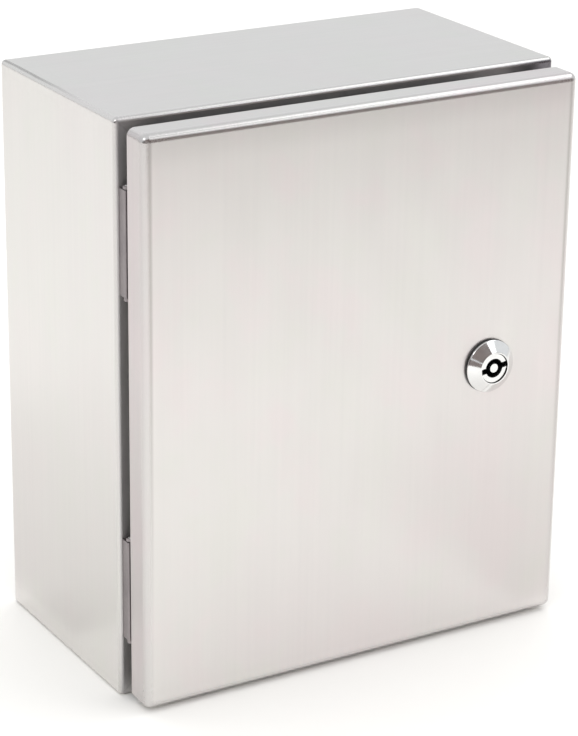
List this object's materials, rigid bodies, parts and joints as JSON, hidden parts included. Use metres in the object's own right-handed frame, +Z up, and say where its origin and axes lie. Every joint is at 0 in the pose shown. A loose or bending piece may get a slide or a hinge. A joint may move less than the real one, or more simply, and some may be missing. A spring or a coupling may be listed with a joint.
{
  "type": "electrical enclosure",
  "caption": "Wall-mounting electrical enclosure of folded stainless sheet with a hinged front door, concealed hinges, a quarter-turn lock and an inner mounting plate.",
  "frame": {"origin": "bottom centre of the whole enclosure, door closed", "axes": "+X to the right seen from the front, +Y to the back wall, +Z up"},
  "size_m": [0.25, 0.156, 0.3],
  "materials": {
    "stainless": "fine brushed stainless steel sheet",
    "hinge_metal": "satin cast hinge metal",
    "pin_steel": "plain turned steel",
    "lock_chrome": "bright plated",
    "zinc_plated": "zinc plated steel",
    "galvanised": "galvanised sheet with spangle",
    "foam_bead": "foamed sealing bead, closed skin",
    "black_rubber": "matt black rubber"
  },
  "bodies": {
    "cabinet": {"enclosure_body": "stainless", "upper_hinge_body_leaf": "hinge_metal", "upper_hinge_pin": "pin_steel", "lower_hinge_body_leaf": "hinge_metal", "lower_hinge_pin": "pin_steel", "hinge_screws": "pin_steel", "hinge_body_nuts": "pin_steel", "mounting_plate": "galvanised", "mounting_plate_spacers": "zinc_plated", "mounting_plate_washers": "zinc_plated", "mounting_plate_nuts": "zinc_plated", "gland_plate": "stainless", "gland_plate_gasket": "black_rubber", "gland_plate_washers": "zinc_plated", "gland_plate_nuts": "zinc_plated", "body_earth_washer": "zinc_plated", "body_earth_nut": "zinc_plated"},
    "door_assembly": {"door": "stainless", "door_gasket": "foam_bead", "upper_hinge_door_leaf": "hinge_metal", "lower_hinge_door_leaf": "hinge_metal", "hinge_door_nuts": "pin_steel", "lock_housing": "lock_chrome", "lock_seal": "black_rubber", "lock_nut": "lock_chrome", "door_earth_washer": "zinc_plated", "door_earth_nut": "zinc_plated"},
    "lock_core": {"lock_insert": "lock_chrome", "lock_cam": "zinc_plated", "lock_cam_washer": "zinc_plated", "lock_cam_screw": "zinc_plated"}
  },
  "joints": [
    {"name": "door_hinge", "type": "hinge", "parent": "cabinet", "child": "door_assembly", "pos_m": [-0.1206, -0.0518, 0.15], "axis": [0, 0, -1], "range_deg": [0, 115]},
    {"name": "lock_turn", "type": "hinge", "parent": "door_assembly", "child": "lock_core", "pos_m": [0.075, -0.0655, 0.15], "axis": [0, -1, 0], "range_deg": [-10, 80]}
  ]
}
